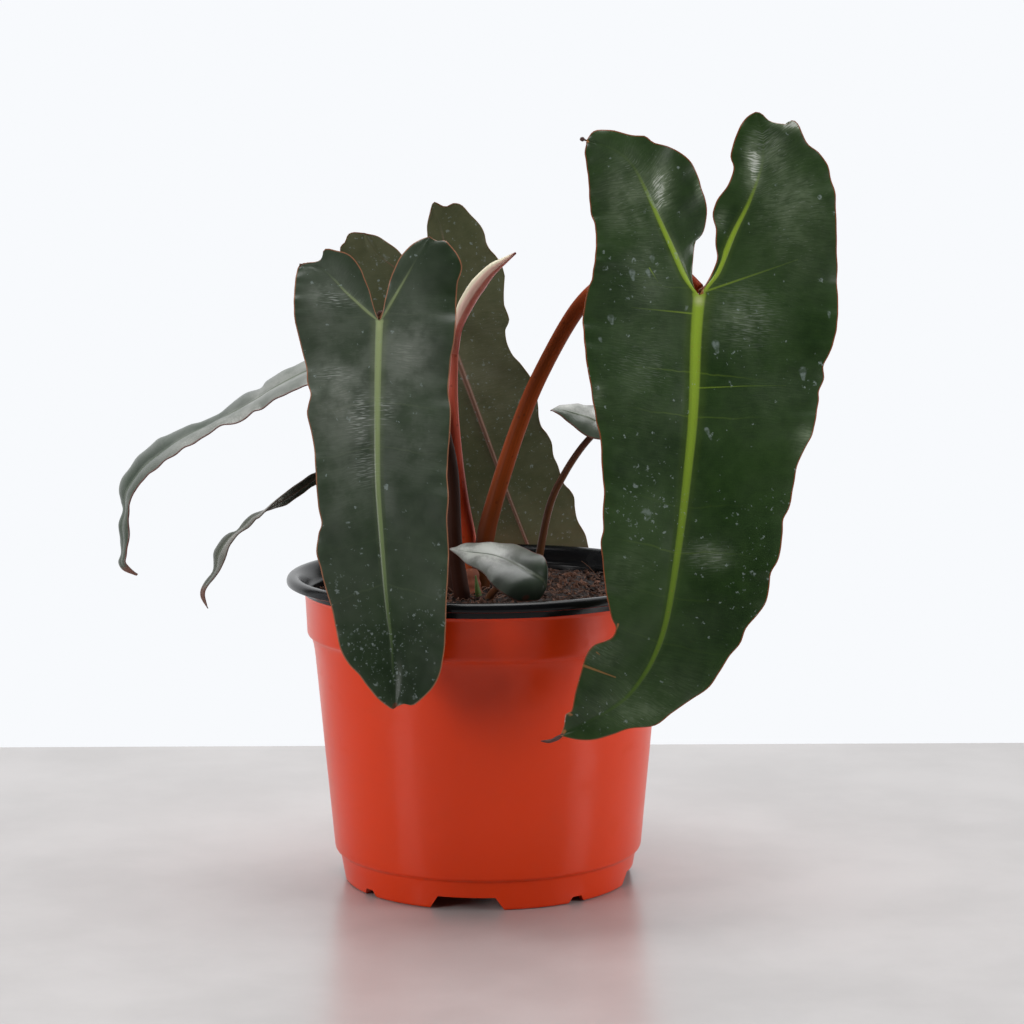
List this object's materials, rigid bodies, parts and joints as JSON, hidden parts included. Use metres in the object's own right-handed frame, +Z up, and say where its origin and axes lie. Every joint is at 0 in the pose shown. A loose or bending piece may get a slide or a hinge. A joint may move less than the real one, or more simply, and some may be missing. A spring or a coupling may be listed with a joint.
{
  "type": "potted philodendron plant",
  "caption": "Young philodendron with long drooping eared leaves on reddish petioles and a rolled new leaf, growing in soil in a red-brown nursery pot with a black rim",
  "frame": {"origin": "middle of the plant's footprint on the table, straight under the middle of its bounding box; the pot's own axis is 7.5 mm right of it and 4.4 mm in front", "axes": "+Z up, -Y is the front that the picture shows, +X to the right as seen from the front"},
  "size_m": [0.3048, 0.2008, 0.3262],
  "materials": {
    "pot_plastic": "satin",
    "soil": "rough",
    "leaf_green": "satin",
    "petiole_orange": "satin",
    "petiole_red": "satin",
    "petiole_brown": "satin",
    "spear_pink": "satin",
    "shoot_green": "satin"
  },
  "bodies": {
    "root": {"nursery_pot": "pot_plastic", "potting_soil": "soil", "blade_large_right": "leaf_green", "blade_front_left": "leaf_green", "blade_back": "leaf_green", "blade_upper_left": "leaf_green", "blade_lower_left": "leaf_green", "blade_small_right": "leaf_green", "blade_small_front": "leaf_green", "petiole_large_right": "petiole_orange", "petiole_new": "petiole_red", "petiole_front_left": "petiole_brown", "petiole_back": "petiole_brown", "petiole_small_right": "petiole_brown", "petiole_small_front": "petiole_brown", "petiole_upper_left": "petiole_brown", "petiole_lower_left": "petiole_brown", "stem_base": "petiole_brown", "leaf_new_spear": "spear_pink", "side_shoot": "shoot_green"}
  },
  "joints": []
}
